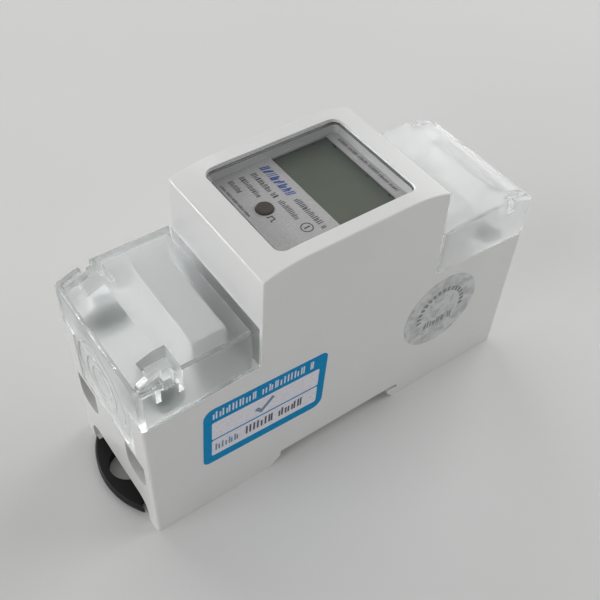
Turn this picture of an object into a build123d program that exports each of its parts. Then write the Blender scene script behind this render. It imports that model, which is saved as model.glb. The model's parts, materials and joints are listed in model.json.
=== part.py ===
"""Two-module electricity meter for a 35 mm DIN rail, as an assembly of separate pieces.

Frame: the origin is the centre of the face that seats on the rail. +Z points out of the
nose, X runs along the case (the pull-out clip is at -X) and Y across its two modules.
"""

from build123d import *
import os

os.makedirs("parts", exist_ok=True)

# --- Driving dimensions, millimetres ----------------------------------------------------
# Case
half_width = 17.5  # two modules of 17.5 mm
half_length = 51.0
back_z = -4.0  # back plane, behind the rail's front face at z = 0
nose_top = 63.1
nose_end_z = 61.25  # top of the nose's end faces, where the crown has come down
nose_left = -23.3  # ends of the nose at its top
nose_right = 22.7
nose_foot = 23.6  # half length of the nose at the deck
case_end_radius = 0.9
ridge_radius = 0.5
nose_edge_radius = 0.35
crown_flat = 12.7  # half length of the flat part of the nose's top
deck_inner_z = 37.1
deck_outer_z = 35.6
wall = 1.7
end_wall = 2.4
top_wall = 2.0
inner_half_width = half_width - wall
inner_half_length = half_length - end_wall

# Rail notch
notch_half = 17.9
notch_roof = 0.25
seat_half = 14.0
hook_top = -1.1
hook_tip = 14.9
hook_lead = 0.9  # height of the hook's blunt tip
hook_slope = 1.8
notch_corner_z = -1.4  # the notch's other corner is cut off below this height
notch_corner = 2.8

# Terminals
terminal_x = 43.3
terminal_y = 11.0
thread_pitch = 0.8
screw_turns = 8
cage_travel = thread_pitch * screw_turns
screw_radius = 2.5
head_radius = 3.9
head_bottom = 32.5
head_top = 35.8
busbar_bottom = 20.4
busbar_top = 22.0
cage_half_x = 5.0
cage_half_y = 4.6
cage_wall = 1.2
cage_floor = 9.8
cage_top = 24.6
entry_half_y = 4.2
entry_bottom = 11.0
entry_top = 19.8
entry_radius = 3.3

# Terminal covers
cover_inner_x = 23.9
cover_top = 49.1
cover_end_z = 46.4
cover_flat_x = 43.0
cover_wall = 1.5
cover_gap = 0.1
cover_rim_radius = 0.5
cover_corner_radius = 0.8
hook_x0 = 40.8  # hook pocket, a box inside the side wall
hook_x1 = 46.8
hook_y = 10.0
hook_floor = 41.5
hook_top_z = 47.8
hook_roof = 44.5
hook_wall = 1.1
hook_notch = (42.8, 45.3)
hook_notch_floor = 45.4
slot_x0 = 44.4  # blind slot in each outer corner, with a lowered strip of wall outside it
slot_x1 = 49.5
slot_y0 = 14.6
slot_floor = 45.4
slot_skin = 0.5
slot_skin_top = 47.3
strip_inner_z = 48.5
strip_outer_z = 45.8
tongue_half_y = 12.0
tongue_bottom = 21.0
tongue_thickness = 1.3
ring_z = 32.0
ring_radii = (10.2, 6.5, 4.2)
ring_width = 0.5
ring_depth = 0.35

# Raised block on each deck
block_near = 28.5
block_far = 36.5
block_half_y = 12.7
block_top = 47.5
block_wall = 1.4
block_edge_radius = 0.5

# Window and display
window_x0 = -17.4
window_x1 = 16.9
window_half_y = 14.0
window_corner = 2.2
ledge = 0.3  # the lens rests on this ledge, all round
gasket_thickness = 0.35
lens_top = 62.5
lens_bottom = 61.3
lens_gap = 0.2
bezel_bottom = 59.3
bezel_half_x = 18.6
nameplate_bottom = 58.8
nameplate_top = 59.2
glass_bottom = 56.45
display_x0 = -1.0
display_x1 = 13.6
display_half_y = 13.0
lamp_x = -10.9
lamp_y = 0.7
lamp_radius = 1.9
lamp_top = 59.7
board_top = 54.65
board_bottom = 53.05

# Clip
clip_top = -1.4
clip_bottom = -3.85
clip_half_width = 10.2
clip_web_half = 8.2
clip_tip = -15.4
clip_out = -55.2
clip_hole_x = -48.4
clip_hole_y = 0.8
clip_hole_radius = 4.7
arch_half_y = 13.6  # opening in the end wall over the clip's tab
arch_top = 2.8
arch_radius = 4.0

# Back plate
plate_top = 1.0
plate_gap = 0.05
bridge_half = 20.0  # raised middle of the plate, over the rail
bridge_top = 2.6
partition_top = 26.0
partition_x0 = 38.2
partition_x1 = 48.4
screw_x = 27.0
screw_y = 13.4
screw_shank = 0.95


def block(x0, x1, y0, y1, z0, z1, mode=Mode.ADD):
    """A box between two corners, for use inside a part block."""
    with Locations(((x0 + x1) / 2, (y0 + y1) / 2, (z0 + z1) / 2)):
        Box(abs(x1 - x0), abs(y1 - y0), abs(z1 - z0), mode=mode)


def post(x, y, z0, z1, radius, mode=Mode.ADD):
    """An upright cylinder from z0 to z1."""
    with Locations((x, y, (z0 + z1) / 2)):
        Cylinder(radius, abs(z1 - z0), mode=mode)


def deck_z(x):
    """Height of the sloping terminal deck at a distance x from the middle."""
    slope = (deck_inner_z - deck_outer_z) / (half_length - nose_foot)
    return deck_inner_z - (abs(x) - nose_foot) * slope


def end_plane(side, distance):
    """A plane across the case's length; its own axes are the frame's Y and Z."""
    return Plane(origin=(side * distance, 0, 0), x_dir=(0, 1, 0), z_dir=(1, 0, 0))


def window_rectangle(inset, mode=Mode.ADD):
    """The window's outline, moved inward by inset, for use inside a sketch block."""
    width = window_x1 - window_x0 - 2 * inset
    height = 2 * (window_half_y - inset)
    with Locations(((window_x0 + window_x1) / 2, 0)):
        RectangleRounded(width, height, window_corner - inset, mode=mode)


def save(piece, name):
    piece.part.label = name
    export_step(piece.part, f"parts/{name}.step")


terminal_spots = [(sx * terminal_x, sy * terminal_y) for sx in (-1, 1) for sy in (-1, 1)]
screw_spots = [(sx * screw_x, sy * screw_y) for sx in (-1, 1) for sy in (-1, 1)]

# --- Main case --------------------------------------------------------------------------
with BuildSketch(Plane.XZ) as case_outline:
    with BuildLine():
        Polyline(
            (-crown_flat, nose_top),
            (crown_flat, nose_top),
        )
        TangentArc((crown_flat, nose_top), (nose_right, nose_end_z), tangent=(1, 0))
        Polyline(
            (nose_right, nose_end_z),
            (nose_foot, deck_inner_z),
            (half_length, deck_outer_z),
            (half_length, back_z),
            (hook_tip + hook_slope, back_z),
            (hook_tip, hook_top - hook_lead),
            (hook_tip, hook_top),
            (notch_half, hook_top),
            (notch_half, notch_roof),
            (-notch_half, notch_roof),
            (-notch_half, notch_corner_z),
            (-notch_half - notch_corner, back_z),
            (-half_length, back_z),
            (-half_length, deck_outer_z),
            (-nose_foot, deck_inner_z),
            (nose_left, nose_end_z),
        )
        TangentArc((-crown_flat, nose_top), (nose_left, nose_end_z), tangent=(-1, 0))
    make_face()

with BuildSketch(Plane.XZ) as case_cavity:
    with BuildLine():
        Polyline(
            (-inner_half_length, back_z - 1),
            (-inner_half_length, deck_outer_z - wall),
            (-nose_foot + wall, deck_inner_z - wall),
            (nose_left + wall, nose_end_z - top_wall),
            (-crown_flat, nose_top - top_wall),
            (crown_flat, nose_top - top_wall),
            (nose_right - wall, nose_end_z - top_wall),
            (nose_foot - wall, deck_inner_z - wall),
            (inner_half_length, deck_outer_z - wall),
            (inner_half_length, back_z - 1),
            close=True,
        )
    make_face()

with BuildPart() as main_case:
    extrude(to_extrude=case_outline.sketch, amount=half_width, both=True)
    ends = main_case.edges().filter_by(Axis.Z).group_by(SortBy.LENGTH)[-1]
    fillet(ends, case_end_radius)
    ridges = main_case.edges().filter_by(Axis.Y)
    ridges = ridges.filter_by_position(Axis.Z, nose_end_z - 0.1, nose_end_z + 0.1)
    fillet(ridges, ridge_radius)
    nose_rim = main_case.edges().filter_by_position(Axis.Z, deck_inner_z + 5, nose_top + 1)
    nose_rim = [edge for edge in nose_rim if abs(abs(edge.center().Y) - half_width) < 0.01]
    fillet(nose_rim, nose_edge_radius)
    extrude(to_extrude=case_cavity.sketch, amount=inner_half_width, both=True, mode=Mode.SUBTRACT)
    # raised block on each deck, hollow from below
    for side in (-1, 1):
        root = deck_z(block_near) - 1.5
        block(side * block_near, side * block_far, -block_half_y, block_half_y, root, block_top)
    block_edges = main_case.edges().filter_by_position(Axis.Z, deck_inner_z + 2, block_top + 0.1)
    block_edges = [edge for edge in block_edges if abs(edge.center().X) > nose_foot + 1]
    fillet(block_edges, block_edge_radius)
    for side in (-1, 1):
        block(
            side * (block_near + block_wall),
            side * (block_far - block_wall),
            -block_half_y + block_wall,
            block_half_y - block_wall,
            deck_inner_z - 6,
            block_top - block_wall,
            mode=Mode.SUBTRACT,
        )
    # bezel round the window: the lens's pocket above, and a narrower opening down to the nameplate
    block(
        -bezel_half_x,
        bezel_half_x,
        -inner_half_width,
        inner_half_width,
        bezel_bottom,
        nose_top - top_wall + 0.3,
    )
    with BuildSketch(Plane.XY.offset(bezel_bottom - 1)):
        window_rectangle(ledge)
    extrude(amount=8, mode=Mode.SUBTRACT)
    with BuildSketch(Plane.XY.offset(lens_bottom)):
        window_rectangle(0)
    extrude(amount=8, mode=Mode.SUBTRACT)
    # guide tubes for the terminal screws
    for x, y in terminal_spots:
        post(x, y, head_bottom - 1.3, deck_z(x) - 1.0, 5.2)
    for x, y in terminal_spots:
        post(x, y, head_bottom - 0.1, deck_z(x) + 2, head_radius + 0.4, mode=Mode.SUBTRACT)
        post(x, y, head_bottom - 3, head_bottom + 1, screw_radius + 0.3, mode=Mode.SUBTRACT)
    # cable entries, the recess for the cover's tongue, and the clip's slot and arch
    for side in (-1, 1):
        for y in (-terminal_y, terminal_y):
            with BuildSketch(end_plane(side, half_length + 1)):
                with Locations((y, (entry_bottom + entry_top) / 2)):
                    entry = Rectangle(2 * entry_half_y, entry_top - entry_bottom)
                fillet(entry.vertices().sort_by(Axis.Y)[:2], entry_radius)
            extrude(amount=-side * (end_wall + 2), mode=Mode.SUBTRACT)
        block(
            side * (half_length - tongue_thickness - 0.15),
            side * (half_length + 1),
            -tongue_half_y - 0.2,
            tongue_half_y + 0.2,
            tongue_bottom - 0.2,
            deck_outer_z + 3,
            mode=Mode.SUBTRACT,
        )
    slot_half = clip_half_width + 0.3
    slot_top = clip_top + 0.2
    slot_inner = -inner_half_length + 1
    block(-half_length - 1, slot_inner, -slot_half, slot_half, back_z - 1, slot_top, mode=Mode.SUBTRACT)
    with BuildSketch(end_plane(-1, half_length + 1)):
        with Locations((0, back_z)):
            RectangleRounded(2 * arch_half_y, 2 * (arch_top - back_z), arch_radius)
    extrude(amount=end_wall + 1.1, mode=Mode.SUBTRACT)
    # bosses for the back plate's screws
    for x, y in screw_spots:
        post(x, y, plate_top + 0.05, 13.0, 2.6)
    for x, y in screw_spots:
        post(x, y, plate_top - 1, 10.0, 1.0, mode=Mode.SUBTRACT)
save(main_case, "main_case")

# --- Back plate -------------------------------------------------------------------------
with BuildSketch(Plane.XZ) as plate_outline:
    with BuildLine():
        Polyline(
            (-inner_half_length + plate_gap, back_z),
            (-notch_half - notch_corner, back_z),
            (-notch_half, notch_corner_z),
            (-notch_half, notch_roof),
            (-seat_half, notch_roof),
            (-seat_half, 0),
            (seat_half, 0),
            (seat_half, notch_roof),
            (notch_half, notch_roof),
            (notch_half, hook_top),
            (hook_tip, hook_top),
            (hook_tip, hook_top - hook_lead),
            (hook_tip + hook_slope, back_z),
            (inner_half_length - plate_gap, back_z),
            (inner_half_length - plate_gap, plate_top),
            (bridge_half, plate_top),
            (bridge_half, bridge_top),
            (-bridge_half, bridge_top),
            (-bridge_half, plate_top),
            (-inner_half_length + plate_gap, plate_top),
            close=True,
        )
    make_face()

spring_near = -25.9
spring_far = -37.9
spring_z = 0.9
divider_y = 5.65
divider_half = 0.55
divider_x0 = 37.0
pilot_radius = 1.4
counterbore_radius = 2.4
counterbore_depth = 1.9
pocket_x0, pocket_x1 = 22.5, 36.5
pocket_y = 6.5
pocket_half_y = 5.5

with BuildPart() as back_plate:
    plate_half = inner_half_width - plate_gap
    extrude(to_extrude=plate_outline.sketch, amount=plate_half, both=True)
    # housing over the clip spring
    block(-40.0, -19.0, -3.6, 3.6, 0.0, 4.6)
    # walls that guide the cage clamps and part the poles
    for side in (-1, 1):
        for y in (-divider_y, divider_y):
            divider_y0, divider_y1 = y - divider_half, y + divider_half
            block(side * partition_x0, side * partition_x1, divider_y0, divider_y1, 0.0, partition_top)
        block(side * divider_x0, side * (divider_x0 + 1), -plate_half, plate_half, 0.0, busbar_bottom - 0.5)
        link_half = divider_y + divider_half
        block(side * divider_x0, side * (divider_x0 + 1.4), -link_half, link_half, 0.0, partition_top)
    # the clip's T-shaped channel and the spring's pocket
    block(-52, -17, -10.4, 10.4, clip_top - 1.15, clip_top + 0.2, mode=Mode.SUBTRACT)
    block(-52, -17, -8.4, 8.4, back_z - 1, clip_top - 1.1, mode=Mode.SUBTRACT)
    block(spring_far - 0.1, -22.0, -2.2, 2.2, clip_top, 3.2, mode=Mode.SUBTRACT)
    # core-out pockets of the far floor
    for y in (-pocket_y, pocket_y):
        pocket_y0, pocket_y1 = y - pocket_half_y, y + pocket_half_y
        block(pocket_x0, pocket_x1, pocket_y0, pocket_y1, -1.8, plate_top + 1, mode=Mode.SUBTRACT)
    for x, y in screw_spots:
        post(x, y, back_z - 1, plate_top + 1, pilot_radius, mode=Mode.SUBTRACT)
        seat_z = back_z + counterbore_depth
        post(x, y, back_z - 1, seat_z, counterbore_radius, mode=Mode.SUBTRACT)
save(back_plate, "back_plate")

with BuildPart() as back_plate_screws:
    for x, y in screw_spots:
        post(x, y, back_z + 0.3, back_z + 1.9, 2.2)
        post(x, y, back_z + 1.9, 9.0, screw_shank)
        block(x - 1.5, x + 1.5, y - 0.25, y + 0.25, back_z, back_z + 1.0, mode=Mode.SUBTRACT)
        block(x - 0.25, x + 0.25, y - 1.5, y + 1.5, back_z, back_z + 1.0, mode=Mode.SUBTRACT)
save(back_plate_screws, "back_plate_screws")

# --- DIN clip and its spring ------------------------------------------------------------
tab_root = -half_length - 0.2
tab_half = 11.9
with BuildSketch(Plane.XY.offset(clip_bottom)) as tab_outline:
    with BuildLine():
        ThreePointArc((tab_root, -tab_half), (clip_out, 0), (tab_root, tab_half))
        Polyline((tab_root, tab_half), (tab_root, -tab_half))
    make_face()

with BuildPart() as din_clip:
    extrude(to_extrude=tab_outline.sketch, amount=clip_top - clip_bottom)
    block(tab_root - 0.3, -18.3, -clip_web_half, clip_web_half, clip_bottom, clip_top)
    block(tab_root - 0.3, -18.3, -clip_half_width, clip_half_width, clip_top - 1.05, clip_top)
    block(-18.6, clip_tip, -clip_web_half, clip_web_half, clip_bottom, clip_top)
    tip_edge = din_clip.edges().filter_by(Axis.Y).sort_by(Axis.X)[-2:].sort_by(Axis.Z)[0]
    chamfer(tip_edge, 1.3)
    hole_z0, hole_z1 = clip_bottom - 1, clip_top + 1
    post(clip_hole_x, clip_hole_y, hole_z0, hole_z1, clip_hole_radius, mode=Mode.SUBTRACT)
    block(-25.8, -24.0, -1.7, 1.7, clip_top - 0.1, 2.6)
    tab_edges = din_clip.faces().filter_by(GeomType.CYLINDER).sort_by(Axis.X)[0].edges()
    fillet(tab_edges.filter_by(GeomType.CIRCLE), 0.6)
save(din_clip, "din_clip")

coil_mean = 1.55
coil_wire = 0.2
with BuildPart() as clip_spring:
    with BuildLine() as coil:
        Helix(
            pitch=1.4,
            height=spring_near - spring_far - 2 * coil_wire,
            radius=coil_mean,
            center=(spring_far + coil_wire, 0, spring_z),
            direction=(1, 0, 0),
        )
    with BuildSketch(Plane(origin=coil.line @ 0, z_dir=coil.line % 0)):
        Circle(coil_wire)
    sweep(path=coil.line, is_frenet=True)
save(clip_spring, "clip_spring")

# --- Terminals --------------------------------------------------------------------------
terminal_names = ["left_near", "left_far", "right_near", "right_far"]
for (x, y), name in zip(terminal_spots, terminal_names):
    with BuildPart() as terminal_screw:
        post(x, y, head_bottom, head_top, head_radius)
        rim = terminal_screw.edges().filter_by(GeomType.CIRCLE).sort_by(Axis.Z)[-1]
        chamfer(rim, 0.4)
        post(x, y, busbar_top + 0.1, head_bottom, screw_radius)
        block(x - 3.2, x + 3.2, y - 0.5, y + 0.5, head_top - 1.5, head_top, mode=Mode.SUBTRACT)
        block(x - 0.45, x + 0.45, y - 2.1, y + 2.1, head_top - 1.9, head_top, mode=Mode.SUBTRACT)
    save(terminal_screw, f"terminal_screw_{name}")

    with BuildPart() as cage:
        block(x - cage_half_x, x + cage_half_x, y - cage_half_y, y + cage_half_y, cage_floor, cage_top)
        upright = cage.edges().filter_by(Axis.X)
        fillet(upright, 0.8)
        block(
            x - cage_half_x - 1,
            x + cage_half_x + 1,
            y - cage_half_y + cage_wall,
            y + cage_half_y - cage_wall,
            cage_floor + 1.4,
            cage_top - 2.2,
            mode=Mode.SUBTRACT,
        )
        post(x, y, cage_top - 4, cage_top + 1, screw_radius + 0.05, mode=Mode.SUBTRACT)
    save(cage, f"cage_clamp_{name}")

# --- Busbars, shunt and relay -----------------------------------------------------------
tongue_inner = 36.4
tongue_outer = 48.4
bar_half = 3.0  # half width of a busbar's tongue, inside the cage
live_y0, live_y1 = -9.0, -7.4
neutral_y0, neutral_y1 = 13.4, 15.0
strip_bottom = 14.5



def busbar_tongue(side, y):
    """The end of a busbar, inside its cage clamp."""
    block(side * tongue_inner, side * tongue_outer, y - bar_half, y + bar_half, busbar_bottom, busbar_top)


with BuildPart() as neutral_busbar:
    for side in (-1, 1):
        busbar_tongue(side, terminal_y)
        block(side * tongue_inner, side * (tongue_inner - 1.6), 8.0, neutral_y1, busbar_bottom, busbar_top)
    block(-tongue_inner, tongue_inner, neutral_y0, neutral_y1, strip_bottom, busbar_top)
save(neutral_busbar, "neutral_busbar")

relay_x0, relay_x1 = -14.0, 22.0
shunt_x0, shunt_x1 = -31.0, -25.0

with BuildPart() as live_busbar_in:
    busbar_tongue(-1, -terminal_y)
    block(-tongue_inner - 1.6, shunt_x0, live_y0, live_y1, strip_bottom + 5.9, busbar_top)
    block(-tongue_inner, shunt_x0, live_y0, live_y1, strip_bottom, busbar_top)
save(live_busbar_in, "live_busbar_in")

with BuildPart() as shunt:
    block(shunt_x0, shunt_x1, live_y0, live_y1, strip_bottom, busbar_top)
save(shunt, "shunt")

with BuildPart() as live_busbar_mid:
    block(shunt_x1, relay_x0, live_y0, live_y1, strip_bottom, busbar_top)
save(live_busbar_mid, "live_busbar_mid")

with BuildPart() as live_busbar_out:
    block(relay_x1, tongue_inner, live_y0, live_y1, strip_bottom, busbar_top)
    busbar_tongue(1, -terminal_y)
save(live_busbar_out, "live_busbar_out")

board_near, board_far = 3.0, 4.6  # main board, upright along the case

with BuildPart() as relay:
    block(relay_x0, relay_x1, -15.2, -0.4, 5.0, 33.0)
    fillet(relay.edges().filter_by(Axis.Z), 0.6)
save(relay, "latching_relay")

with BuildPart() as relay_pins:
    for x in (-8.0, 0.0, 8.0):
        with Locations(Plane(origin=(x, -0.4, 8.0), z_dir=(0, 1, 0))):
            Cylinder(0.5, board_near + 0.4, align=(Align.CENTER, Align.CENTER, Align.MIN))
save(relay_pins, "relay_pins")

# --- Main board and what it carries -----------------------------------------------------
with BuildPart() as main_board:
    block(-34.0, 34.0, board_near, board_far, 5.5, 33.0)
    block(-17.0, 17.0, board_near, board_far, 33.0, 50.0)
save(main_board, "main_board")

with BuildPart() as film_capacitor:
    block(-30.0, -17.0, board_far, 10.0, 22.5, 32.5)
    fillet(film_capacitor.edges(), 0.8)
save(film_capacitor, "film_capacitor")

with BuildPart() as electrolytic_capacitor:
    with Locations(Plane(origin=(-8.0, board_far, 28.0), z_dir=(0, 1, 0))):
        Cylinder(4.0, 7.6, align=(Align.CENTER, Align.CENTER, Align.MIN))
    fillet(electrolytic_capacitor.edges().sort_by(Axis.Y)[-1], 0.6)
save(electrolytic_capacitor, "electrolytic_capacitor")

with BuildPart() as varistor:
    with Locations(Plane(origin=(26.0, board_far + 0.6, 13.0), z_dir=(0, 1, 0))):
        Cylinder(5.5, 4.0, align=(Align.CENTER, Align.CENTER, Align.MIN))
    fillet(varistor.edges().filter_by(GeomType.CIRCLE), 1.2)
    block(22.5, 22.9, board_far, board_far + 2.6, 13.0, 13.4)
    block(29.1, 29.5, board_far, board_far + 2.6, 13.0, 13.4)
save(varistor, "varistor")


def chip(x, z, width, height):
    """A flat package on the far side of the main board, with legs on its two long sides."""
    leg_pitch = 1.27
    leg_reach = height / 2 + 1.0
    half = width / 2
    with BuildPart() as package:
        block(x - half, x + half, board_far + 0.2, board_far + 1.8, z - height / 2, z + height / 2)
        legs = int(width / leg_pitch)
        for index in range(legs):
            leg_x = x + (index - (legs - 1) / 2) * leg_pitch
            block(leg_x - 0.2, leg_x + 0.2, board_far, board_far + 0.9, z - leg_reach, z + leg_reach)
    return package


save(chip(x=6.0, z=28.0, width=10.2, height=5.4), "metering_chip")
save(chip(x=2.0, z=43.0, width=10.2, height=7.5), "controller_chip")

with BuildPart() as crystal:
    block(10.5, 15.5, board_far, board_far + 3.0, 41.0, 45.0)
    fillet(crystal.edges().filter_by(Axis.Y), 1.6)
save(crystal, "crystal")

with BuildPart() as sense_wires:
    for x in (shunt_x0 - 1.5, shunt_x1 + 1.5):
        with Locations(Plane(origin=(x, live_y1, 18.0), z_dir=(0, 1, 0))):
            Cylinder(0.6, board_near - live_y1, align=(Align.CENTER, Align.CENTER, Align.MIN))
save(sense_wires, "sense_wires")

with BuildPart() as neutral_lead:
    with Locations(Plane(origin=(14.0, board_far, 18.0), z_dir=(0, 1, 0))):
        Cylinder(0.7, neutral_y0 - board_far, align=(Align.CENTER, Align.CENTER, Align.MIN))
save(neutral_lead, "neutral_lead")

# --- Display, nameplate, lens -----------------------------------------------------------
carrier_half_x = 18.2
carrier_half_y = 15.0
display_screw_spots = [(-16.6, -12.9), (-16.6, 12.9), (16.8, -12.9), (16.8, 12.9)]

with BuildPart() as display_board:
    block(-carrier_half_x, carrier_half_x, -carrier_half_y, carrier_half_y, board_bottom, board_top)
    for x, y in display_screw_spots:
        post(x, y, board_bottom - 1, board_top + 1, 1.1, mode=Mode.SUBTRACT)
save(display_board, "display_board")

with BuildPart() as board_link_pins:
    for index in range(8):
        pin_x = (index - 3.5) * 2.54
        block(pin_x - 0.3, pin_x + 0.3, board_near - 0.9, board_near - 0.3, 46.0, board_bottom)
    block(-10.2, 10.2, board_near - 2.2, board_near, 48.0, 50.5)
save(board_link_pins, "board_link_pins")

glass_x0, glass_x1 = display_x0 - 1.2, display_x1 + 1.2
glass_half_y = display_half_y + 1.2
contact_y = 12.0
contact_half = 1.0

with BuildPart() as display_carrier:
    block(-carrier_half_x, carrier_half_x, -carrier_half_y, carrier_half_y, board_top, nameplate_bottom)
    block(
        glass_x0 - 0.05,
        glass_x1 + 0.05,
        -glass_half_y - 0.05,
        glass_half_y + 0.05,
        glass_bottom,
        nameplate_bottom + 1,
        mode=Mode.SUBTRACT,
    )
    for y in (-contact_y, contact_y):
        block(
            glass_x0 + 1,
            glass_x1 - 1,
            y - contact_half - 0.1,
            y + contact_half + 0.1,
            board_top - 1,
            glass_bottom + 1,
            mode=Mode.SUBTRACT,
        )
    post(lamp_x, lamp_y, board_top - 1, nameplate_bottom + 1, lamp_radius + 0.3, mode=Mode.SUBTRACT)
    for x, y in display_screw_spots:
        post(x, y, board_top - 1, board_top + 2.6, 0.95, mode=Mode.SUBTRACT)
save(display_carrier, "display_carrier")

with BuildPart() as display_screws:
    for x, y in display_screw_spots:
        head_end = board_bottom - 1.2
        post(x, y, head_end, board_bottom, 1.9)
        post(x, y, board_bottom, board_top + 2.4, 0.9)
        block(x - 1.2, x + 1.2, y - 0.2, y + 0.2, head_end, head_end + 0.6, mode=Mode.SUBTRACT)
save(display_screws, "display_screws")

with BuildPart() as display_glass:
    block(glass_x0, glass_x1, -glass_half_y, glass_half_y, glass_bottom, nameplate_bottom)
save(display_glass, "display_glass")

with BuildPart() as contact_strips:
    for y in (-contact_y, contact_y):
        block(glass_x0 + 1.1, glass_x1 - 1.1, y - contact_half, y + contact_half, board_top, glass_bottom)
save(contact_strips, "contact_strips")

with BuildPart() as nameplate:
    block(-carrier_half_x, carrier_half_x, -carrier_half_y, carrier_half_y, nameplate_bottom, nameplate_top)
    block(
        display_x0,
        display_x1,
        -display_half_y,
        display_half_y,
        nameplate_bottom - 1,
        nameplate_top + 1,
        mode=Mode.SUBTRACT,
    )
    post(lamp_x, lamp_y, nameplate_bottom - 1, nameplate_top + 1, lamp_radius + 0.1, mode=Mode.SUBTRACT)
save(nameplate, "nameplate")

with BuildPart() as pulse_lamp:
    post(lamp_x, lamp_y, board_top, board_top + 1.0, lamp_radius + 0.2)
    post(lamp_x, lamp_y, board_top + 1.0, lamp_top, lamp_radius)
    fillet(pulse_lamp.edges().filter_by(GeomType.CIRCLE).sort_by(Axis.Z)[-1], 0.4)
save(pulse_lamp, "pulse_lamp")

with BuildPart() as window_gasket:
    with BuildSketch(Plane.XY.offset(nameplate_top)):
        window_rectangle(ledge)
        window_rectangle(ledge + gasket_thickness, mode=Mode.SUBTRACT)
    extrude(amount=lens_bottom - nameplate_top)
save(window_gasket, "window_gasket")

with BuildPart() as window_lens:
    with BuildSketch(Plane.XY.offset(lens_bottom)):
        window_rectangle(lens_gap)
    extrude(amount=lens_top - lens_bottom)
    fillet(window_lens.faces().sort_by(Axis.Z)[-1].edges(), 0.3)
save(window_lens, "window_lens")


# --- Terminal covers --------------------------------------------------------------------
def terminal_cover(side):
    """A clear cover: a box open below, with a tongue down the end wall and two hook pockets."""
    with BuildSketch(Plane.XZ) as outline:
        with BuildLine():
            Polyline(
                (side * cover_inner_x, deck_z(cover_inner_x) + cover_gap),
                (side * cover_inner_x, cover_top),
                (side * cover_flat_x, cover_top),
            )
            TangentArc(
                (side * cover_flat_x, cover_top), (side * half_length, cover_end_z), tangent=(side, 0)
            )
            Polyline(
                (side * half_length, cover_end_z),
                (side * half_length, deck_z(half_length) + cover_gap),
                (side * cover_inner_x, deck_z(cover_inner_x) + cover_gap),
            )
        make_face()
    with BuildSketch(Plane.XZ) as hollow:
        with BuildLine():
            Polyline(
                (side * (cover_inner_x + cover_wall), deck_outer_z - 5),
                (side * (cover_inner_x + cover_wall), cover_top - cover_wall),
                (side * cover_flat_x, cover_top - cover_wall),
                (side * (half_length - cover_wall), cover_end_z - cover_wall),
                (side * (half_length - cover_wall), deck_outer_z - 5),
                close=True,
            )
        make_face()
    with BuildPart() as cover:
        extrude(to_extrude=outline.sketch, amount=half_width, both=True)
        corners = cover.edges().filter_by(Axis.Z)
        fillet([edge for edge in corners if abs(edge.center().X) > half_length - 1], cover_corner_radius)
        rim = cover.edges().filter_by_position(Axis.Z, cover_end_z - 1.0, cover_top + 0.1)
        rim = [edge for edge in rim if abs(edge.center().X) > cover_inner_x + 1]
        fillet(rim, cover_rim_radius)
        inner_rim = cover.edges().filter_by(Axis.Y).sort_by(Axis.Z)[-2:]
        inner_rim = [edge for edge in inner_rim if abs(edge.center().X) < cover_inner_x + 1]
        fillet(inner_rim, 0.4)
        extrude(to_extrude=hollow.sketch, amount=half_width - cover_wall, both=True, mode=Mode.SUBTRACT)
        for y_side in (-1, 1):
            # lowered strip of wall outside the slot
            strip_plane = Plane(
                origin=(0, y_side * (half_width - cover_wall), 0), x_dir=(side, 0, 0), z_dir=(0, y_side, 0)
            )
            up = side * -y_side  # the plane's own Y points down on two of the four corners
            with BuildSketch(strip_plane):
                with BuildLine():
                    Polyline(
                        (slot_x0, up * strip_inner_z),
                        (half_length + 1, up * strip_outer_z),
                        (half_length + 1, up * (cover_top + 1)),
                        (slot_x0, up * (cover_top + 1)),
                        close=True,
                    )
                make_face()
            extrude(amount=cover_wall + 1, mode=Mode.SUBTRACT)
            # hook pocket: a box inside the side wall, open below and outward through a notch
            block(
                side * hook_x0,
                side * hook_x1,
                y_side * hook_y,
                y_side * (half_width - cover_wall + 0.3),
                hook_floor,
                hook_top_z,
            )
            block(
                side * (hook_x0 + hook_wall),
                side * (hook_x1 - hook_wall),
                y_side * (hook_y + hook_wall),
                y_side * (half_width - cover_wall),
                hook_floor - 1,
                hook_roof,
                mode=Mode.SUBTRACT,
            )
            # blind slot in the outer corner
            block(
                side * (slot_x0 - slot_skin),
                side * slot_x1,
                y_side * (slot_y0 - slot_skin),
                y_side * (half_width - cover_wall),
                slot_floor - slot_skin,
                slot_skin_top,
            )
            block(
                side * slot_x0,
                side * slot_x1,
                y_side * slot_y0,
                y_side * (half_width - cover_wall),
                slot_floor,
                cover_top + 1,
                mode=Mode.SUBTRACT,
            )
            block(
                side * hook_notch[0],
                side * hook_notch[1],
                y_side * (half_width - cover_wall - 0.5),
                y_side * (half_width + 1),
                hook_notch_floor,
                cover_top + 1,
                mode=Mode.SUBTRACT,
            )
        # tongue over the end wall
        block(
            side * (half_length - tongue_thickness),
            side * half_length,
            -tongue_half_y,
            tongue_half_y,
            tongue_bottom,
            deck_outer_z + 2,
        )
        lower = [edge for edge in cover.edges().filter_by(Axis.X) if edge.center().Z < tongue_bottom + 1]
        fillet(lower, 5.0)
        with BuildSketch(end_plane(side, half_length)):
            with Locations((0, ring_z)):
                for radius in ring_radii:
                    Circle(radius)
                    Circle(radius - ring_width, mode=Mode.SUBTRACT)
        extrude(amount=-side * ring_depth, mode=Mode.SUBTRACT)
    return cover


save(terminal_cover(-1), "terminal_cover_left")
save(terminal_cover(1), "terminal_cover_right")

# --- Stickers ---------------------------------------------------------------------------
sticker_thickness = 0.1
side_face = Plane(origin=(0, -half_width, 0), x_dir=(1, 0, 0), z_dir=(0, -1, 0))
with BuildPart() as inspection_sticker:
    with BuildSketch(side_face):
        with Locations(Location((-22.3, 21.3, 0), (0, 0, 1), -2.4)):
            RectangleRounded(31.6, 19.3, 2.0)
    extrude(amount=sticker_thickness)
save(inspection_sticker, "inspection_sticker")

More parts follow.
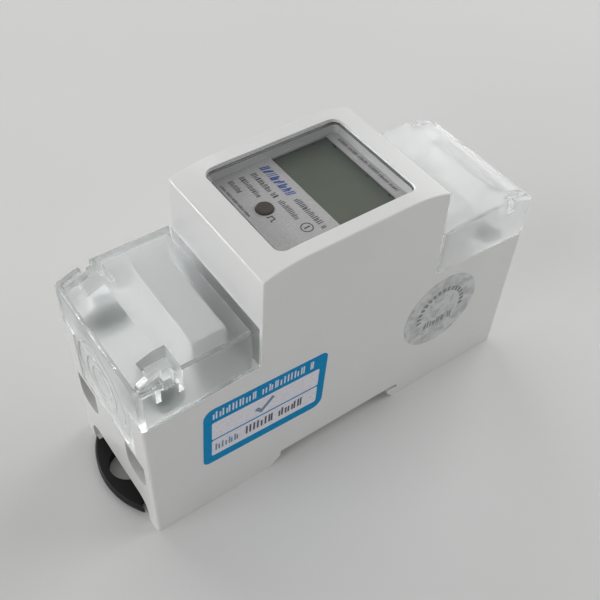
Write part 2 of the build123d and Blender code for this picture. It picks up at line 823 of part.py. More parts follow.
with BuildPart() as seal_sticker:
    with BuildSketch(side_face):
        with Locations((27.6, 22.4)):
            Circle(11.0)
    extrude(amount=sticker_thickness)
save(seal_sticker, "seal_sticker")
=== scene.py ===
"""Looks, floor, light and camera for the two-module DIN-rail electricity meter."""

import bmesh
import bpy
import json
import math
import random
from mathutils import Matrix, Vector


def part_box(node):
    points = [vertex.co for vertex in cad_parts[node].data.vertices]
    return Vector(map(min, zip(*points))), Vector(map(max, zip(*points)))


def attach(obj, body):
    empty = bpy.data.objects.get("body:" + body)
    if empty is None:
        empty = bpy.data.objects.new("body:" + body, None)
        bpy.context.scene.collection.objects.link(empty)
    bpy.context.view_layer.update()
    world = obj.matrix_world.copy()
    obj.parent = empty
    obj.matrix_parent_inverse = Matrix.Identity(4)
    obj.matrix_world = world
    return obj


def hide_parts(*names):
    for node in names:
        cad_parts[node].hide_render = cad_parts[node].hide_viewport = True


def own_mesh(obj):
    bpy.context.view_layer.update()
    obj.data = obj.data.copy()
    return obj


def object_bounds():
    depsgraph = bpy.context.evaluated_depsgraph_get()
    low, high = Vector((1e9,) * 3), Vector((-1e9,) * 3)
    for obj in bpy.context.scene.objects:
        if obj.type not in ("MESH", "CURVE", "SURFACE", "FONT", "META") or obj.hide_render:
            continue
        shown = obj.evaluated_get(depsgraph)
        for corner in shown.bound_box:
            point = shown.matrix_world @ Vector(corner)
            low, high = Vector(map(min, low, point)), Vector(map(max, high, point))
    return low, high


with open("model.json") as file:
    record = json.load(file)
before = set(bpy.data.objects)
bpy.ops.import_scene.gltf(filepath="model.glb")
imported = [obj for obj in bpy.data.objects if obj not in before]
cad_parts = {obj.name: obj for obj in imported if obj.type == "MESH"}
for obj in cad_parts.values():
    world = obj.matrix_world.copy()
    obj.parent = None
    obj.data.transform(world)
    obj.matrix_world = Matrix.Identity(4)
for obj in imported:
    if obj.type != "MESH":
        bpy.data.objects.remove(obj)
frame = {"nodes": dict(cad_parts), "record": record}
nodes = frame["nodes"]
cad_low, cad_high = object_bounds()
MM = 0.001
floor_z = cad_low.z

# Between these a terminal cover's faces are inner ones, in metres from the middle of the case
COVER_NOSE_END = 0.0236
COVER_INNER_END = 0.05025
COVER_INNER_SIDE = 0.0169
COVER_INNER_TOP = 0.04835
COVER_SLOPE_START = 0.043
COVER_SLOPE_END = 0.051
COVER_SLOPE_DROP = 0.00272


# --- Materials --------------------------------------------------------------------------
class Shader:
    """A Principled material whose detail comes from nodes in object space, in metres."""

    def __init__(self, name, **sockets):
        self.material = bpy.data.materials.new(name)
        self.material.use_nodes = True
        self.tree = self.material.node_tree
        self.tree.nodes.clear()
        self.output = self.add("ShaderNodeOutputMaterial")
        self.surface = self.add("ShaderNodeBsdfPrincipled")
        self.link(self.surface.outputs["BSDF"], self.output.inputs["Surface"])
        self.place = self.add("ShaderNodeTexCoord").outputs["Object"]
        for socket, value in sockets.items():
            self.surface.inputs[socket.replace("_", " ")].default_value = value

    def add(self, kind, **settings):
        node = self.tree.nodes.new(kind)
        for key, value in settings.items():
            setattr(node, key, value)
        return node

    def link(self, source, target):
        self.tree.links.new(source, target)

    def stretched(self, stretch):
        """Object coordinates, scaled along each axis."""
        node = self.add("ShaderNodeMapping")
        node.inputs["Scale"].default_value = stretch
        self.link(self.place, node.inputs["Vector"])
        return node.outputs["Vector"]

    def noise(self, scale, detail=2.0, stretch=None, distortion=0.0):
        node = self.add("ShaderNodeTexNoise")
        node.inputs["Scale"].default_value = scale
        node.inputs["Detail"].default_value = detail
        node.inputs["Distortion"].default_value = distortion
        self.link(self.stretched(stretch) if stretch else self.place, node.inputs["Vector"])
        return node.outputs["Fac"]

    def cells(self, scale):
        node = self.add("ShaderNodeTexVoronoi")
        node.inputs["Scale"].default_value = scale
        self.link(self.place, node.inputs["Vector"])
        return node.outputs["Distance"]

    def axis(self, letter):
        """One coordinate of the object, in metres."""
        node = self.add("ShaderNodeSeparateXYZ")
        self.link(self.place, node.inputs[0])
        return node.outputs[letter]

    def ramp(self, source, low, high, to_low=0.0, to_high=1.0):
        """source taken from low..high to to_low..to_high, and held there outside."""
        node = self.add("ShaderNodeMapRange", clamp=True)
        for socket, value in (("From Min", low), ("From Max", high), ("To Min", to_low), ("To Max", to_high)):
            node.inputs[socket].default_value = value
        self.link(source, node.inputs["Value"])
        return node.outputs["Result"]

    def math(self, operation, a, b):
        node = self.add("ShaderNodeMath", operation=operation)
        for socket, value in zip(node.inputs, (a, b)):
            if isinstance(value, (int, float)):
                socket.default_value = value
            else:
                self.link(value, socket)
        return node.outputs[0]

    def blend(self, factor, first, second):
        """A colour between first and second; each is a colour or another node's output."""
        node = self.add("ShaderNodeMix", data_type="RGBA")
        sockets = (node.inputs["Factor"], node.inputs[6], node.inputs[7])
        for socket, value in zip(sockets, (factor, first, second)):
            if isinstance(value, tuple):
                socket.default_value = (*value, 1.0)
            elif isinstance(value, float):
                socket.default_value = value
            else:
                self.link(value, socket)
        return node.outputs[2]

    def color(self, value):
        self.link(value, self.surface.inputs["Base Color"])

    def roughness(self, value):
        self.link(value, self.surface.inputs["Roughness"])

    def bump(self, *layers):
        """Height layers as (source, height in metres), added one on another."""
        normal = None
        for source, distance in layers:
            node = self.add("ShaderNodeBump")
            node.inputs["Strength"].default_value = 1.0
            node.inputs["Distance"].default_value = distance
            self.link(source, node.inputs["Height"])
            if normal is not None:
                self.link(normal, node.inputs["Normal"])
            normal = node.outputs["Normal"]
        self.link(normal, self.surface.inputs["Normal"])

    def inner_face(self):
        """One on the faces a terminal cover turns to the terminals, nought on its outside."""
        x = self.math("ABSOLUTE", self.axis("X"), 0.0)
        y = self.math("ABSOLUTE", self.axis("Y"), 0.0)
        drop = self.ramp(x, COVER_SLOPE_START, COVER_SLOPE_END, 0.0, COVER_SLOPE_DROP)
        below = self.math("LESS_THAN", self.math("ADD", self.axis("Z"), drop), COVER_INNER_TOP)
        before_end = self.math("LESS_THAN", x, COVER_INNER_END)
        past_nose = self.math("GREATER_THAN", x, COVER_NOSE_END)
        beside = self.math("MULTIPLY", before_end, past_nose)
        inside = self.math("MULTIPLY", self.math("LESS_THAN", y, COVER_INNER_SIDE), beside)
        return self.math("MULTIPLY", below, inside)

    def lamps_pass(self, wall_tint, top_tint):
        """Rays from lamps go straight through, tinted by what the walls or the top let through."""
        facing = self.add("ShaderNodeSeparateXYZ")
        self.link(self.add("ShaderNodeNewGeometry").outputs["Normal"], facing.inputs[0])
        level = self.ramp(self.math("ABSOLUTE", facing.outputs["Z"], 0.0), 0.5, 0.8)
        clear = self.add("ShaderNodeBsdfTransparent")
        self.link(self.blend(level, wall_tint, top_tint), clear.inputs["Color"])
        path = self.add("ShaderNodeLightPath")
        mixer = self.add("ShaderNodeMixShader")
        self.link(path.outputs["Is Shadow Ray"], mixer.inputs[0])
        self.link(self.surface.outputs["BSDF"], mixer.inputs[1])
        self.link(clear.outputs["BSDF"], mixer.inputs[2])
        self.link(mixer.outputs["Shader"], self.output.inputs["Surface"])


def shade(color, factor):
    return tuple(channel * factor for channel in color)


def moulded(name, color, roughness, grain=2600.0, specular=0.5, coat=0.0):
    """Moulded plastic: spark-eroded grain, faint clouding and a few handling marks."""
    s = Shader(name, Specular_IOR_Level=specular, Coat_Weight=coat, Coat_Roughness=0.12)
    clouds = s.noise(45.0, 3.0, distortion=0.6)
    fine = s.noise(grain, 2.0)
    s.color(s.blend(s.ramp(clouds, 0.3, 0.7), shade(color, 0.965), color))
    rub = s.noise(300.0, 4.0, stretch=(1.0, 1.0, 0.25))
    s.roughness(s.ramp(rub, 0.25, 0.75, roughness - 0.07, roughness + 0.06))
    s.bump((s.noise(90.0, 2.0), 0.00003), (fine, 0.000012))
    return s.material


def metal(name, color, roughness, stretch=(1.0, 1.0, 12.0)):
    """Plated or drawn metal: streaks along the grain, dulled patches and fine pits."""
    s = Shader(name, Metallic=1.0)
    streaks = s.noise(900.0, 4.0, stretch=stretch)
    patches = s.noise(160.0, 3.0)
    mixed = s.math("MULTIPLY", s.ramp(patches, 0.35, 0.65), s.ramp(streaks, 0.2, 0.8))
    s.color(s.blend(mixed, shade(color, 0.7), color))
    s.roughness(s.ramp(streaks, 0.2, 0.8, roughness - 0.08, roughness + 0.12))
    s.bump((streaks, 0.000006), (s.noise(5200.0, 1.0), 0.000003))
    return s.material


def ink(name, color, roughness=0.4, metallic=0.0, specular=0.5):
    """Printed ink or film: slightly uneven cover, with a fine fibre under it."""
    s = Shader(name, Metallic=metallic, Specular_IOR_Level=specular)
    cover = s.noise(2200.0, 3.0)
    s.color(s.blend(s.ramp(cover, 0.3, 0.62), shade(color, 0.86), color))
    s.roughness(s.ramp(s.noise(700.0, 3.0), 0.3, 0.7, roughness - 0.06, roughness + 0.08))
    s.bump((cover, 0.000004))
    return s.material


def foil(name, pale, dull):
    """Thin silver foil with cloudy dull patches and fine creases."""
    s = Shader(name, Metallic=0.25, Specular_IOR_Level=0.4)
    clouds = s.noise(420.0, 4.0, distortion=0.6)
    s.color(s.blend(s.ramp(clouds, 0.38, 0.6), dull, pale))
    s.roughness(s.ramp(clouds, 0.3, 0.7, 0.34, 0.5))
    s.bump((s.noise(900.0, 3.0), 0.00001))
    return s.material


def clear_plastic(name, tint, gloss, index, wall_pass, top_pass, milk=0.0, frost=None):
    """Clear moulded plastic; gloss is its roughness, and frost adds to it on a matt inner face."""
    s = Shader(name, Transmission_Weight=1.0 - milk, IOR=index)
    flow = s.noise(60.0, 2.0, distortion=1.2)
    s.color(s.blend(s.ramp(flow, 0.3, 0.7), tint, shade(tint, 0.985)))
    rough = s.ramp(s.noise(420.0, 3.0), 0.3, 0.7, gloss, gloss * 1.3 + 0.01)
    if frost is not None:
        rough = s.math("ADD", rough, s.math("MULTIPLY", s.inner_face(), frost))
    s.roughness(rough)
    s.bump((s.noise(140.0, 2.0), 0.00002), (s.noise(2400.0, 2.0), 0.0000003))
    s.lamps_pass(wall_pass, top_pass)
    return s.material


WHITE = (0.82, 0.825, 0.815)
materials = {
    "case_white": moulded("case_white", WHITE, 0.46, coat=0.45),
    "carrier_white": moulded("carrier_white", (0.78, 0.78, 0.76), 0.5),
    "clip_black": moulded("clip_black", (0.006, 0.0065, 0.0065), 0.5, grain=3600.0, specular=0.22),
    "chip_black": moulded("chip_black", (0.02, 0.02, 0.021), 0.6, grain=5200.0),
    "relay_body": moulded("relay_body", (0.035, 0.04, 0.05), 0.5),
    "film_yellow": moulded("film_yellow", (0.62, 0.40, 0.05), 0.3),
    "sleeve_black": moulded("sleeve_black", (0.02, 0.02, 0.03), 0.25),
    "varistor_blue": moulded("varistor_blue", (0.03, 0.13, 0.36), 0.35, grain=1500.0),
    # painted shade: the gasket is a mid grey so the walls under the lens read as shaded
    "gasket_grey": moulded("gasket_grey", (0.52, 0.52, 0.525), 0.8, grain=1800.0, specular=0.2),
    "contact_rubber": moulded("contact_rubber", (0.03, 0.03, 0.03), 0.75, grain=4200.0),
    "wire_red": moulded("wire_red", (0.42, 0.02, 0.02), 0.4),
    "wire_blue": moulded("wire_blue", (0.02, 0.06, 0.36), 0.4),
    "cage_steel": metal("cage_steel", (0.55, 0.56, 0.53), 0.36),
    "spring_steel": metal("spring_steel", (0.56, 0.56, 0.57), 0.22, stretch=(12.0, 1.0, 1.0)),
    "copper": metal("copper", (0.80, 0.40, 0.24), 0.3, stretch=(1.0, 12.0, 12.0)),
    "manganin": metal("manganin", (0.46, 0.36, 0.28), 0.36, stretch=(1.0, 12.0, 12.0)),
    "crystal_can": metal("crystal_can", (0.78, 0.78, 0.79), 0.18),
    "pin_brass": metal("pin_brass", (0.78, 0.62, 0.30), 0.25),
    "nameplate_silver": ink("nameplate_silver", (0.47, 0.46, 0.46), 0.42, metallic=0.15),
    "sticker_blue": ink("sticker_blue", (0.0, 0.285, 0.60), 0.5, specular=0.1),
    "sticker_silver": foil("sticker_silver", (0.70, 0.71, 0.71), (0.50, 0.51, 0.51)),
    "clear_cover": clear_plastic(
        "clear_cover",
        tint=(0.87, 0.88, 0.88),
        gloss=0.06,
        index=1.36,
        wall_pass=(0.76, 0.77, 0.77),
        top_pass=(0.69, 0.70, 0.705),
        milk=0.07,
        frost=0.34,
    ),
    # painted light: a paler copy of the cover plastic, with more milk and a lighter tint, so the right cover
    # reads lighter than the left
    "clear_cover_painted_light": clear_plastic(
        "clear_cover_painted_light",
        tint=(0.975, 0.98, 0.98),
        gloss=0.06,
        index=1.36,
        wall_pass=(0.99, 0.99, 0.99),
        top_pass=(0.88, 0.885, 0.885),
        milk=0.3,
        frost=0.34,
    ),
    "lens_clear": clear_plastic(
        "lens_clear",
        tint=(0.97, 0.975, 0.975),
        gloss=0.02,
        index=1.49,
        wall_pass=(0.9, 0.9, 0.9),
        top_pass=(0.96, 0.965, 0.965),
    ),
}


def board_green():
    """Solder mask over copper tracks, with bare pads."""
    s = Shader("board_green", Coat_Weight=0.3)
    tracks = s.add("ShaderNodeTexBrick", offset=0.37, squash=0.6, squash_frequency=3)
    tracks.inputs["Scale"].default_value = 160.0
    tracks.inputs["Mortar Size"].default_value = 0.012
    tracks.inputs["Mortar Smooth"].default_value = 0.2
    turned = s.add("ShaderNodeMapping")
    turned.inputs["Rotation"].default_value = (math.radians(90), 0.0, 0.0)
    s.link(s.place, turned.inputs["Vector"])
    s.link(turned.outputs["Vector"], tracks.inputs["Vector"])
    mask = s.blend(tracks.outputs["Fac"], (0.012, 0.11, 0.04), (0.03, 0.22, 0.075))
    pads = s.ramp(s.cells(330.0), 0.10, 0.12, 1.0, 0.0)
    s.color(s.blend(pads, mask, (0.72, 0.70, 0.66)))
    s.roughness(s.ramp(s.noise(500.0, 3.0), 0.3, 0.7, 0.25, 0.4))
    s.bump((tracks.outputs["Fac"], 0.00002), (s.noise(2500.0, 2.0), 0.000005))
    return s.material


def display_green():
    """A reflective display at rest: grey-green polariser, with painted shade darkening it towards its far and
    right borders.
    """
    s = Shader("display_glass", Specular_IOR_Level=0.2)
    low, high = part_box("display_glass")
    # painted shade: the colour darkens towards the far and right borders, where the recess edge shades the
    # display
    right = s.ramp(s.axis("X"), high.x - 0.006, high.x - 0.001)
    far = s.ramp(s.axis("Y"), high.y - 0.007, high.y - 0.001)
    edge_shade = s.math("MAXIMUM", right, far)
    edge_shade = s.math("MULTIPLY", edge_shade, edge_shade)
    grain = s.ramp(s.noise(900.0, 3.0), 0.3, 0.7)
    middle = s.blend(grain, (0.098, 0.113, 0.090), (0.104, 0.119, 0.095))
    s.color(s.blend(edge_shade, middle, (0.045, 0.057, 0.053)))
    s.roughness(s.ramp(s.noise(600.0, 2.0), 0.3, 0.7, 0.4, 0.48))
    s.bump((s.noise(3000.0, 2.0), 0.000002))
    return s.material


def terminal_steel():
    """Dark green passivated screw head: bright worn rim, and painted shade darkening the middle where its
    recess is.
    """
    s = Shader("screw_steel", Metallic=1.0)
    low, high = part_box("terminal_screw_right_far")
    middle = (low + high) / 2
    across = s.math("SUBTRACT", s.math("ABSOLUTE", s.axis("X"), 0.0), middle.x)
    along = s.math("SUBTRACT", s.math("ABSOLUTE", s.axis("Y"), 0.0), middle.y)
    squared = s.math("ADD", s.math("MULTIPLY", across, across), s.math("MULTIPLY", along, along))
    rim = s.ramp(s.math("SQRT", squared, 0.0), 0.0022, 0.0031)
    streaks = s.noise(900.0, 4.0, stretch=(1.0, 1.0, 12.0))
    # real wear and painted shade: bright worn steel on the rim, painted shade darkening the recess in the
    # middle
    rim_wear_and_recess_shade = s.math("MULTIPLY", rim, s.ramp(streaks, 0.2, 0.6, 0.6, 1.0))
    s.color(s.blend(rim_wear_and_recess_shade, (0.05, 0.095, 0.085), (0.5, 0.53, 0.515)))
    s.roughness(s.ramp(streaks, 0.2, 0.8, 0.28, 0.46))
    s.bump((streaks, 0.000006), (s.noise(5200.0, 1.0), 0.000003))
    return s.material


def lamp_brown():
    """Tinted lamp epoxy: dark brown-red, with painted light making it lighter towards its crown."""
    depth = (0.001, 0.0003, 0.0002)
    s = Shader("lamp_red", Specular_IOR_Level=0.3, Subsurface_Weight=0.15, Subsurface_Radius=depth)
    low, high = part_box("pulse_lamp")
    # painted light: the colour lightens from the foot up to the crown, where light from above falls
    s.color(s.blend(s.ramp(s.axis("Z"), low.z, high.z), (0.036, 0.022, 0.018), (0.046, 0.037, 0.033)))
    s.roughness(s.ramp(s.noise(900.0, 2.0), 0.3, 0.7, 0.4, 0.5))
    s.bump((s.noise(1400.0, 2.0), 0.000005))
    return s.material


materials["board_green"] = board_green()
materials["display_glass"] = display_green()
materials["lamp_red"] = lamp_brown()
materials["screw_steel"] = terminal_steel()

finish_of = {part["node"]: part["material_slot"] for part in frame["record"]["subparts"]}
# painted light: the right cover gets the paler copy of the same plastic
finish_of["terminal_cover_right"] = "clear_cover_painted_light"  # this cover reads paler than the other
for name, node in nodes.items():
    node.data.materials.clear()
    node.data.materials.append(materials[finish_of[name]])


# --- Thin printed and cut shapes --------------------------------------------------------
def flat_piece(name, loops, place, depth, material):
    """A thin solid cut from flat outlines in millimetres; a loop inside another is a hole."""
    curve = bpy.data.curves.new(name, "CURVE")
    curve.dimensions = "2D"
    curve.fill_mode = "BOTH"
    curve.extrude = depth * MM / 2
    for loop in loops:
        spline = curve.splines.new("POLY")
        spline.points.add(len(loop) - 1)
        for point, (x, y) in zip(spline.points, loop):
            point.co = (x * MM, y * MM, 0.0, 1.0)
        spline.use_cyclic_u = True
    holder = bpy.data.objects.new(f"{name}_outline", curve)
    mesh = bpy.data.meshes.new_from_object(holder)
    bpy.data.objects.remove(holder)
    built = bmesh.new()
    built.from_mesh(mesh)
    bmesh.ops.remove_doubles(built, verts=built.verts, dist=1e-6)
    bmesh.ops.recalc_face_normals(built, faces=built.faces)
    built.to_mesh(mesh)
    built.free()
    mesh.transform(place @ Matrix.Translation((0.0, 0.0, depth * MM / 2)))
    mesh.materials.clear()
    mesh.materials.append(material)
    piece = bpy.data.objects.new(name, mesh)
    mesh.name = name
    bpy.context.scene.collection.objects.link(piece)
    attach(piece, "case")
    return piece


def rectangle(x0, y0, x1, y1, radii=0.0, steps=6):
    """A rounded rectangle's outline, with one radius or four from the lower left round to the upper left."""
    corners = radii if isinstance(radii, tuple) else (radii,) * 4
    sides = ((x0, y0, 1, 1), (x1, y0, -1, 1), (x1, y1, -1, -1), (x0, y1, 1, -1))
    loop = []
    for index, ((cx, cy, sx, sy), radius) in enumerate(zip(sides, corners)):
        if radius <= 0:
            loop.append((cx, cy))
            continue
        for step in range(steps + 1):
            angle = math.radians(180 + 90 * index + 90 * step / steps)
            x = cx + sx * radius + radius * math.cos(angle)
            y = cy + sy * radius + radius * math.sin(angle)
            loop.append((x, y))
    return loop


def circle(x, y, radius, steps=48):
    angles = [2 * math.pi * step / steps for step in range(steps)]
    return [(x + radius * math.cos(a), y + radius * math.sin(a)) for a in angles]


def slab(x, y, width, height, slant=0.0):
    """An upright block with its lower left corner at x, y, leaning by slant at its top."""
    return [(x, y), (x + width, y), (x + width + slant, y + height), (x + slant, y + height)]


def plain_marks(x0, x1, y, height, draw, slant=0.0, stroke=0.17, words=6):
    """Pairs of plain upright strokes that stand in for a line of print."""
    loops = []
    x = x0
    count = 0
    thick = stroke * height
    while x < x1 - 0.45 * height:
        width = min(height * draw.uniform(0.36, 0.56), x1 - x)
        for foot in (x, x + width - thick):
            tall = height * draw.choice((1.0, 1.0, 0.74))
            loops.append(slab(foot, y, thick, tall, slant * height))
        x += width + 0.2 * height
        count += 1
        if count % words == 0:
            x += 0.4 * height
    return loops


def plane_at(origin, x_axis, y_axis, turn=0.0):
    """The place of a flat drawing: its origin in millimetres and its two directions."""
    x_axis, y_axis = Vector(x_axis), Vector(y_axis)
    turned = Matrix((x_axis, y_axis, x_axis.cross(y_axis))).transposed().to_4x4()
    return Matrix.Translation(Vector(origin) * MM) @ turned @ Matrix.Rotation(math.radians(turn), 4, "Z")


draw = random.Random(11)

# Label on the near side wall: blue frame and header round a white field
label_low, label_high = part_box("inspection_sticker")
label_middle = (label_low + label_high) / 2 / MM
label_width, label_height, label_turn = 31.6, 19.3, -2.4
side_y = label_high.y / MM
film = 0.06
ink_depth = 0.03


def on_side(middle, lift=0.0, turn=0.0):
    """A drawing on the near side wall, standing off it by lift."""
    return plane_at((middle.x, side_y - lift, middle.z), (1, 0, 0), (0, 0, 1), turn)


label_place = on_side(label_middle, turn=label_turn)
print_place = on_side(label_middle, film, label_turn)
half_w, half_h = label_width / 2, label_height / 2
outline = rectangle(-half_w, -half_h, half_w, half_h, (1.6, 2.6, 1.6, 2.6))
label_white = ink("label_white", (0.88, 0.87, 0.94), 0.45)
label_grey = ink("label_grey", (0.20, 0.30, 0.42), 0.45)
label_dark = ink("label_dark", (0.07, 0.08, 0.12), 0.45)
base = flat_piece("label_base", [outline], label_place, film, label_white)
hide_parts("inspection_sticker")

field_top = half_h - 4.9
rule_y = half_h - 11.05
field_bottom = -half_h + 2.5
field_left, field_right = -half_w + 2.1, half_w - 1.9
blue = [
    rectangle(-half_w + 0.05, -half_h + 0.05, half_w - 0.05, half_h - 0.05, (1.6, 2.6, 1.6, 2.6)),
    rectangle(field_left, rule_y + 0.2, field_right, field_top, 0.5),
    rectangle(field_left, field_bottom, field_right, rule_y - 0.2, 0.5),
]
header = plain_marks(-half_w + 2.3, half_w - 2.6, half_h - 3.75, 2.5, draw, words=7)
sticker_blue = materials["sticker_blue"]
flat_piece("label_print_blue", blue + header, print_place, ink_depth, sticker_blue)
tick = [(-2.4, 0.2), (-1.7, 0.9), (-0.6, -0.2), (2.0, 2.6), (2.7, 1.9), (-0.6, -1.6)]
tick = [(x - 0.6, y + (rule_y + field_top) / 2 - 0.5) for x, y in tick]
flat_piece("label_print_tick", [tick], print_place, ink_depth, label_grey)
row_y = (rule_y + field_bottom) / 2 - 1.3
flat_piece(
    "label_print_caption",
    plain_marks(field_left + 0.9, field_left + 7.4, row_y, 2.3, draw, words=9),
    print_place,
    ink_depth,
    label_grey,
)
flat_piece(
    "label_print_entry",
    plain_marks(field_left + 8.6, field_right - 2.4, row_y + 0.1, 2.7, draw, words=4),
    print_place,
    ink_depth,
    label_dark,
)

# Round silver seal on the near side wall: an arc and a row of plain marks
seal_low, seal_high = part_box("seal_sticker")
seal_middle = (seal_low + seal_high) / 2 / MM
seal_radius = (seal_high.x - seal_low.x) / 2 / MM
seal_place = on_side(seal_middle)
seal_print = on_side(seal_middle, film)
seal = flat_piece(
    "seal_base",
    [circle(0, 0, seal_radius, 96)],
    seal_place,
    film,
    materials["sticker_silver"],
)
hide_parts("seal_sticker")
seal_ink = ink("seal_ink", (0.27, 0.28, 0.29), 0.4)


def ring_marks(radius, height, start, stop, count):
    """Plain blocks round an arc, in degrees counter-clockwise from the right."""
    loops = []
    for index in range(count):
        middle = math.radians(start + (stop - start) * (index + 0.5) / count)
        half = math.radians(abs(stop - start) / count * draw.uniform(0.26, 0.36))
        corners = ((radius, -half), (radius, half), (radius + height, half), (radius + height, -half))
        loops.append([(r * math.cos(middle + a), r * math.sin(middle + a)) for r, a in corners])
    return loops


arc = ring_marks(seal_radius - 5.0, 1.3, 196, -16, 17)
row = plain_marks(-4.6, 4.8, -4.6, 2.1, draw, words=5)
flat_piece("seal_print", arc + row, seal_print, ink_depth, seal_ink)

# Nameplate print: it reads from +Y to -Y with its top towards +X
plate_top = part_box("nameplate")[1].z / MM
plate_place = plane_at((0, 0, plate_top), (0, -1, 0), (1, 0, 0))
plate_dark = ink("plate_dark", (0.045, 0.048, 0.055), 0.45)
plate_blue = ink("plate_blue", (0.02, 0.07, 0.30), 0.4)
flat_piece(
    "plate_print_blue",
    plain_marks(-11.8, -0.9, -4.9, 2.1, draw, slant=0.22, stroke=0.26, words=20),
    plate_place,
    0.02,
    plate_blue,
)
lines = plain_marks(0.4, 10.4, -4.6, 1.4, draw, words=9)
lines += plain_marks(-11.0, -2.2, -7.6, 1.3, draw, words=8)
lines += plain_marks(-1.0, 5.5, -7.6, 1.3, draw, words=7)
lines += plain_marks(-11.3, -4.0, -10.3, 1.2, draw, words=9)
lines += plain_marks(-11.4, -7.5, -12.9, 1.2, draw, words=9)
lines += plain_marks(-11.3, -0.4, -14.9, 0.6, draw, words=5)
lines += plain_marks(-10.6, 9.6, 14.8, 0.8, draw, words=6)
lines += [circle(8.3, -6.9, 1.35), circle(8.3, -6.9, 1.1), slab(8.1, -7.6, 0.35, 1.4)]
pulse = [(1.5, -12.0), (2.0, -12.0), (2.0, -11.0), (2.8, -11.0), (2.8, -12.0), (3.4, -12.0)]
inner_edge = [(3.4, -12.0), (3.08, -12.0), (3.08, -11.0), (1.72, -11.0), (1.72, -12.0), (1.5, -12.0)]
pulse_back = [(x, y + 0.28) for x, y in inner_edge]
lines.append(pulse + pulse_back)
flat_piece("plate_print_dark", lines, plate_place, 0.02, plate_dark)

# Printed border of the display, over the glass
glass_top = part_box("display_glass")[1].z / MM
glass_place = plane_at((0, 0, glass_top), (0, -1, 0), (1, 0, 0))
opening = (-13.0, -1.0, 13.0, 13.6)
inner = (-12.35, -0.75, 12.35, 12.9)
flat_piece(
    "display_border",
    [rectangle(*opening), rectangle(*inner, 0.3)],
    glass_place,
    0.02,
    ink("display_border", (0.03, 0.034, 0.03), 0.3),
)

# Clip spring: a wound coil in place of the plain spring part
coil_low, coil_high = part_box("clip_spring")
coil_middle = (coil_low + coil_high) / 2
coil_wire = 0.2 * MM
coil_radius = (coil_high.z - coil_low.z) / 2 - coil_wire
coil_length = coil_high.x - coil_low.x - 2 * coil_wire
coil_turns, coil_steps, wire_sides = 8.25, 330, 10
whole_turn = 2 * math.pi
coil = bmesh.new()
loops = []
for step in range(coil_steps + 1):
    share = step / coil_steps
    angle = share * coil_turns * whole_turn
    outward = Vector((0.0, math.cos(angle), math.sin(angle)))
    forward = Vector((coil_length / (coil_turns * whole_turn), 0.0, 0.0))
    forward += coil_radius * Vector((0.0, -math.sin(angle), math.cos(angle)))
    across = forward.normalized().cross(outward)
    start = Vector((coil_low.x + coil_wire + share * coil_length, coil_middle.y, coil_middle.z))
    centre = start + coil_radius * outward
    turns = [whole_turn * side / wire_sides for side in range(wire_sides)]
    rims = [centre + coil_wire * (math.cos(a) * outward + math.sin(a) * across) for a in turns]
    loops.append([coil.verts.new(rim) for rim in rims])
for first, second in zip(loops, loops[1:]):
    for side in range(wire_sides):
        after = (side + 1) % wire_sides
        coil.faces.new((first[side], first[after], second[after], second[side])).smooth = True
coil.faces.new(loops[0])
coil.faces.new(loops[-1])
bmesh.ops.recalc_face_normals(coil, faces=coil.faces)
coil_mesh = bpy.data.meshes.new("clip_coil")
coil.to_mesh(coil_mesh)
coil.free()
coil_mesh.materials.append(materials["spring_steel"])
clip_coil = bpy.data.objects.new("clip_coil", coil_mesh)
bpy.context.scene.collection.objects.link(clip_coil)
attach(clip_coil, "case")
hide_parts("clip_spring")
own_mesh(clip_coil)

# --- Floor, light and camera ------------------------------------------------------------
floor_mesh = bpy.data.meshes.new("floor")
grid = bmesh.new()
bmesh.ops.create_grid(grid, x_segments=8, y_segments=8, size=1.6)
grid.to_mesh(floor_mesh)
grid.free()
floor_mesh.transform(Matrix.Translation((0.0, 0.0, floor_z)))
floor = bpy.data.objects.new("floor", floor_mesh)
bpy.context.scene.collection.objects.link(floor)
surface = Shader("floor_grey", Specular_IOR_Level=0.25)
patches = surface.ramp(surface.noise(6.0, 2.0), 0.3, 0.7)
surface.color(surface.blend(patches, (0.70, 0.70, 0.695), (0.73, 0.73, 0.725)))
surface.roughness(surface.ramp(surface.noise(40.0, 2.0), 0.3, 0.7, 0.6, 0.7))
floor_mesh.materials.append(surface.material)

world = bpy.data.worlds.new("studio")
world.use_nodes = True
world.node_tree.nodes["Background"].inputs["Color"].default_value = (1.0, 1.0, 0.995, 1.0)
world.node_tree.nodes["Background"].inputs["Strength"].default_value = 0.2
bpy.context.scene.world = world


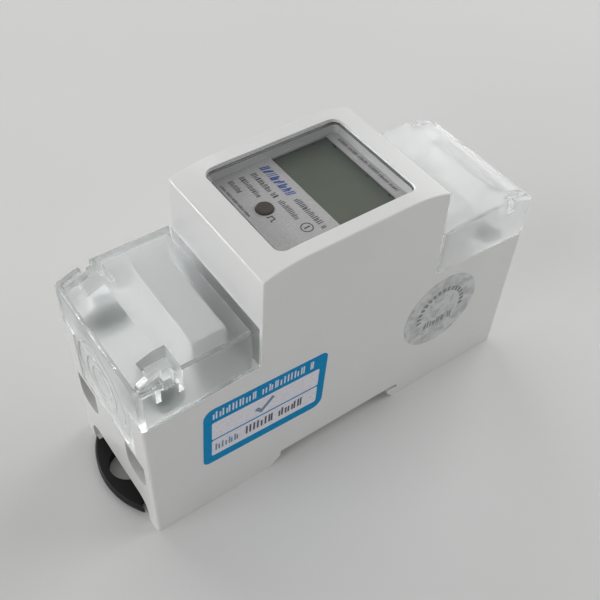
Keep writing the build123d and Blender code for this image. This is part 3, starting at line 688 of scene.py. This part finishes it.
def softbox(name, at, aim, width, height, power, glints=True, fill=True):
    lamp_data = bpy.data.lights.new(name, "AREA")
    lamp_data.shape = "RECTANGLE"
    lamp_data.size = width
    lamp_data.size_y = height
    lamp_data.energy = power
    box = bpy.data.objects.new(name, lamp_data)
    box.visible_glossy = glints
    box.visible_transmission = glints
    box.visible_diffuse = fill
    box.location = at
    box.rotation_mode = "QUATERNION"
    box.rotation_quaternion = (Vector(aim) - Vector(at)).to_track_quat("-Z", "Y")
    bpy.context.scene.collection.objects.link(box)


softbox("over", (0.0, 0.0, 1.2), (0.0, 0.0, 0.0), 1.2, 1.2, 0.72)
softbox("left", (-1.1, 0.0, 0.55), (0.0, 0.0, 0.03), 1.0, 0.8, 6.1)
softbox("far", (0.0, 1.3, 0.8), (0.0, 0.1, 0.0), 1.2, 0.9, 7.2)
softbox("right", (1.1, 0.0, 0.55), (0.0, 0.0, 0.03), 1.6, 1.0, 9.4, glints=False)
softbox("right_low", (1.1, 0.0, 0.5), (0.0, 0.0, 0.03), 1.6, 1.0, 3.4)
softbox("ridge", (-0.9, 0.85, 0.43), (0.0, 0.0, 0.06), 0.3, 0.12, 9.0, fill=False)

camera_data = bpy.data.cameras.new("camera")
camera_data.lens = 52.78
camera_data.sensor_width = 36.0
camera_data.clip_start = 0.01
camera = bpy.data.objects.new("camera", camera_data)
camera_at = Vector((-0.08469, -0.10744, 0.17871))
camera_aim = Vector((0.00279, 0.00505, 0.0200))
camera_roll = math.radians(3.35)
camera.location = camera_at
camera.rotation_mode = "QUATERNION"
turn = (camera_aim - camera_at).to_track_quat("-Z", "Y")
camera.rotation_quaternion = turn @ Matrix.Rotation(camera_roll, 3, "Z").to_quaternion()
bpy.context.scene.collection.objects.link(camera)
bpy.context.scene.camera = camera
bpy.context.scene.view_settings.view_transform = "Standard"
bpy.context.scene.view_settings.look = "None"
bpy.context.scene.cycles.use_denoising = True
bpy.context.scene.cycles.transparent_max_bounces = 24
bpy.context.scene.cycles.transmission_bounces = 16
bpy.context.scene.cycles.max_bounces = 20
